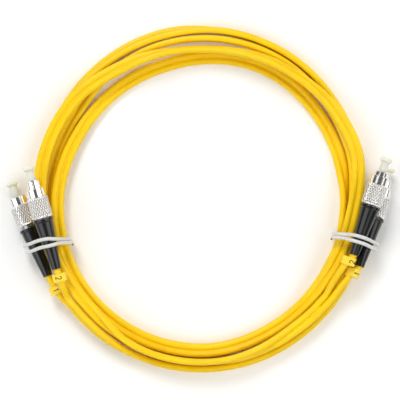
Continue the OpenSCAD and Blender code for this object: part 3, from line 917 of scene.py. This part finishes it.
class PATCH_OT_caps(bpy.types.Operator):
    """Makes the dust caps"""

    bl_idname = "patch.caps"
    bl_label = "Dust caps"

    def execute(self, context):
        plastic = moulded_polyethylene(context.scene.cord_finishes.polyethylene)
        corners_mm = [
            (0, 6.6), (2.1, 6.55), (2.85, 5.9), (2.85, 5.0), (2.3, 4.45), (1.9, 4.3), (1.8, 3.6),
            (1.8, -2.4), (1.31, -2.4), (1.31, 4.0), (0.9, 4.1), (0, 4.1),
        ]
        rounded = filleted([(r * MM, z * MM) for r, z in corners_mm], radius=0.25 * MM, steps=3)
        # The fillets at the axis reach past it
        outline = [(max(r, 0), z) for r, z in rounded]
        for plug in PLUGS:
            cap = turned(plug + "_cap_shell", outline, plastic, segments=64)
            on_plug(cap, plug, ends(plug, "dust_cap")[1] - outline[0][1])
            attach(cap, plug + "_cap")
            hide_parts(plug + "_dust_cap")
        return {"FINISHED"}


class PATCH_OT_springs(bpy.types.Operator):
    """Makes the springs behind the ferrules, at the length of the CAD springs"""

    bl_idname = "patch.springs"
    bl_label = "Springs"

    def execute(self, context):
        drawn = turned_metal(linear("#9b9b9d"), "drawn_spring_wire", 0.25)
        for plug in PLUGS:
            back, front = ends(plug, "spring")
            spring = swept(plug + "_coil_spring", self.rings(front - back), drawn)
            on_plug(spring, plug, back)
            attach(spring, ROOT)
            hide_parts(plug + "_spring")
            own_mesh(spring)
        return {"FINISHED"}

    def rings(self, length):
        """Rings of points round the wire of a spring whose end turns are closed."""
        wire, coil_radius = 0.4 * MM, 1.9 * MM
        turns, steps, sides = 7, 24, 8
        # The end turns rise by little more than the wire, so that they all but touch
        closed = 1.03 * wire
        section = [
            (wire / 2 * math.cos(a), wire / 2 * math.sin(a))
            for a in (2 * math.pi * k / sides for k in range(sides))
        ]
        pitch = (length - wire - 2 * closed) / (turns - 2)
        made = []
        for i in range(turns * steps + 1):
            turn = i / steps
            opened = min(max(turn - 1, 0), turns - 2)
            height = wire / 2 + opened * pitch + (turn - opened) * closed
            out = outward(360 * turn)
            made.append([out * (coil_radius + x) + Vector((0, 0, height + y)) for x, y in section])
        return made


class PATCH_OT_turned_parts(bpy.types.Operator):
    """Gives the plugs' other pieces their finishes"""

    bl_idname = "patch.turned_parts"
    bl_label = "Turned parts"

    def execute(self, context):
        finishes = context.scene.cord_finishes
        bright = turned_metal(finishes.nickel, "nickel_plated_barrel", 0.14)
        dull = turned_metal(linear("#a5a5a6"), "turned_steel", 0.3)
        bronze = turned_metal(linear("#b98a4e"), "stamped_bronze", 0.3)
        zirconia = polished_zirconia()
        coat = coated_buffer()
        clip = moulded_marker(finishes.marker)
        looks = {
            "barrel": bright, "ferrule_holder": bright, "rear_body": dull, "crimp_sleeve": dull,
            "snap_ring": bronze, "ferrule": zirconia, "buffer": coat, "marker": clip,
        }
        for plug in PLUGS:
            for piece, look in looks.items():
                paint(f"{plug}_{piece}", look)
        return {"FINISHED"}


class PATCH_OT_numerals(bpy.types.Operator):
    """Prints the markers' plain numbers"""

    bl_idname = "patch.numerals"
    bl_label = "Numerals"

    # Strokes in a box of one by one, and how far outward of its marker each number sits
    strokes = {
        "a": ((0.22, 0.72), (0.5, 1), (0.5, 0)),
        "b": (
            (0.08, 0.76), (0.2, 0.94), (0.5, 1), (0.8, 0.94), (0.92, 0.74), (0.8, 0.5),
            (0.06, 0), (0.95, 0),
        ),
    }
    outward_mm = {"left_a": 0, "left_b": 0.4, "right_a": 1.8, "right_b": 1.6}
    # A number's height and width, the width of its strokes, how far the ink stands off
    # the marker, and the points along a stroke
    tall, wide, pen, film, steps = 2.6 * MM, 1.5 * MM, 0.36 * MM, 0.015 * MM, 8

    def execute(self, context):
        ink = printed_ink()
        for plug in PLUGS:
            number = self.number(plug, ink)
            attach(number, ROOT)
        return {"FINISHED"}

    def number(self, plug, ink):
        """A number as a ribbon that lies on the marker's upper side."""
        turn = MARKERS_MM[plug][2]
        axis = face_and_axis(plug)[1]
        side = 1 if plug.startswith("right") else -1
        inward = Vector((0, 0, 1)).cross(axis).normalized() * side
        up = axis.cross(inward) * side
        middle = marker_point(plug, 0) - inward * self.outward_mm[plug] * MM
        line = [
            Vector(((y - 0.5) * self.tall, (x - 0.5) * self.wide * side, 0))
            for x, y in self.strokes[plug[-1]]
        ]
        path = [
            *(a.lerp(b, i / self.steps) for a, b in zip(line, line[1:]) for i in range(self.steps)),
            line[-1],
        ]
        shape = bmesh.new()
        rows = []
        for i, spot in enumerate(path):
            run = (path[min(i + 1, len(path) - 1)] - path[max(i - 1, 0)]).normalized()
            edge = Vector((-run.y, run.x, 0)) * self.pen / 2
            row = []
            for at in (spot + edge, spot - edge):
                across = side * (at.x - self.outward_mm[plug] * MM)
                height = self.top(turn, across) + self.film
                row.append(shape.verts.new(middle + inward * at.x + axis * at.y + up * height))
            rows.append(row)
        for (a, b), (c, d) in zip(rows, rows[1:]):
            shape.faces.new((a, b, d, c))
        return finished(shape, plug + "_number", ink)

    def top(self, turn, across):
        """The height of a marker's upper side, to the left of its middle by across."""
        corners = [
            (MARKER_HEIGHT / 2 * x, MARKER_WIDTH / 2 * y)
            for x, y in ((1, 1), (1, -1), (-1, -1), (-1, 1))
        ]
        lean = math.radians(-turn)
        ring = [
            (x * math.cos(lean) - y * math.sin(lean), x * math.sin(lean) + y * math.cos(lean))
            for x, y in filleted(corners, MARKER_ROUND, steps=8)
        ]
        heights = [0]
        for (x, y), (u, v) in zip(ring, [*ring[1:], ring[0]]):
            if min(y, v) <= across <= max(y, v) and y != v:
                heights.append(x + (u - x) * (across - y) / (v - y))
        return max(heights)


class PATCH_PT_panel(bpy.types.Panel):
    """Lists the patch cord's pieces and sizes in the sidebar"""

    bl_idname = "PATCH_PT_panel"
    bl_label = "Patch cord"
    bl_space_type = "VIEW_3D"
    bl_region_type = "UI"
    bl_category = "Patch cord"

    def draw(self, context):
        for made in OPERATORS:
            self.layout.operator(made.bl_idname)
        for group in GROUPS:
            settings = getattr(context.scene, group)
            for name in settings.bl_rna.properties.keys():
                if name not in ("rna_type", "name"):
                    self.layout.prop(settings, name)


OPERATORS = (
    PATCH_OT_stage, PATCH_OT_zip_cord, PATCH_OT_ties, PATCH_OT_nuts,
    PATCH_OT_boots, PATCH_OT_caps, PATCH_OT_springs, PATCH_OT_turned_parts, PATCH_OT_numerals,
)
GROUPS = {"cord_sizes": CordSizes, "plug_sizes": PlugSizes, "cord_finishes": Finishes}


def register():
    """Registers the classes and hangs the settings on the scene."""
    for made in (*GROUPS.values(), *OPERATORS, PATCH_PT_panel):
        bpy.utils.register_class(made)
    for name, group in GROUPS.items():
        setattr(bpy.types.Scene, name, PointerProperty(type=group))


def unregister():
    """Takes the settings off the scene and the classes away."""
    for name in GROUPS:
        delattr(bpy.types.Scene, name)
    for made in reversed((*GROUPS.values(), *OPERATORS, PATCH_PT_panel)):
        bpy.utils.unregister_class(made)


def main():
    """Makes every piece."""
    register()
    for made in OPERATORS:
        group, name = made.bl_idname.split(".")
        getattr(getattr(bpy.ops, group), name)()
    bpy.context.view_layer.update()


if __name__ == "__main__":
    main()
